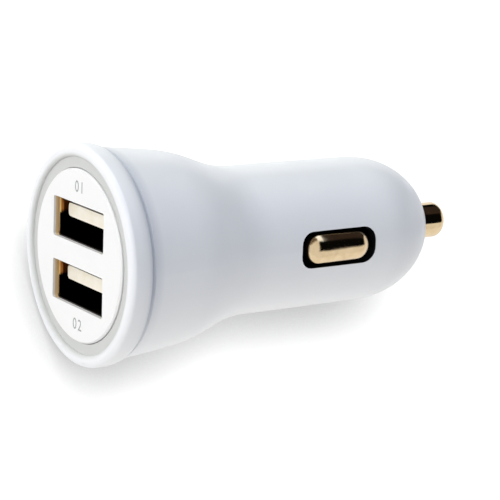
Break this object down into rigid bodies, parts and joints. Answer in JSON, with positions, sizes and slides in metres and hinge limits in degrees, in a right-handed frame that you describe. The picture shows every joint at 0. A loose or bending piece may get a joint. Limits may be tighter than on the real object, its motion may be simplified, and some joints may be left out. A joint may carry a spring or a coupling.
{
  "type": "car usb charger plug",
  "caption": "Round socket plug with a flared head, stacked charging ports in its face, sprung oblong side contacts and a sprung metal tip.",
  "frame": {"origin": "on the axis, in the plane of the face rim that the plug stands on", "axes": "+Z along the axis from the face rim to the tip, X along the ports' long side through the side contacts, Y across the two ports"},
  "size_m": [0.0302, 0.0302, 0.0604],
  "materials": {
    "white_shell": "gloss",
    "white_plate": "satin",
    "gilt_shell": "polished",
    "cream_insulator": "satin",
    "gold_contact": "polished",
    "board": "satin",
    "black_package": "matte",
    "ferrite": "matte",
    "copper_wire": "gloss",
    "can": "satin",
    "ceramic": "satin",
    "plated_spring": "polished",
    "brass_cup": "satin",
    "steel_wire": "satin",
    "plated_tip": "polished"
  },
  "bodies": {
    "charger": {"housing": "white_shell", "front_bezel": "white_shell", "face_plate": "white_plate", "usb_shell_upper": "gilt_shell", "usb_shell_lower": "gilt_shell", "usb_insulator_upper": "cream_insulator", "usb_insulator_lower": "cream_insulator", "usb_contacts_upper": "gold_contact", "usb_contacts_lower": "gold_contact", "circuit_board": "board", "converter_chip": "black_package", "rectifier_diode": "black_package", "inductor_core": "ferrite", "inductor_winding": "copper_wire", "input_capacitor": "can", "output_capacitor": "can", "chip_resistors": "black_package", "chip_capacitors": "ceramic", "spring_cup": "brass_cup", "tip_spring": "steel_wire"},
    "tip": {"tip_contact": "plated_tip"},
    "right_contact": {"side_contact_right": "plated_spring"},
    "left_contact": {"side_contact_left": "plated_spring"}
  },
  "joints": [
    {"name": "tip_slide", "type": "slide", "parent": "charger", "child": "tip", "axis": [0, 0, -1], "range_m": [0, 0.0025], "stiffness_N_per_m": 900, "springref_m": -0.003, "deforming": ["tip_spring"]},
    {"name": "side_contact_right_press", "type": "hinge", "parent": "charger", "child": "right_contact", "pos_m": [0.00737, 0, 0.0244], "axis": [0, -1, 0], "range_deg": [0, 6], "stiffness_Nm_per_rad": 0.4, "springref_deg": -2.86},
    {"name": "side_contact_left_press", "type": "hinge", "parent": "charger", "child": "left_contact", "pos_m": [-0.00737, 0, 0.0244], "axis": [0, 1, 0], "range_deg": [0, 6], "stiffness_Nm_per_rad": 0.4, "springref_deg": -2.86}
  ]
}
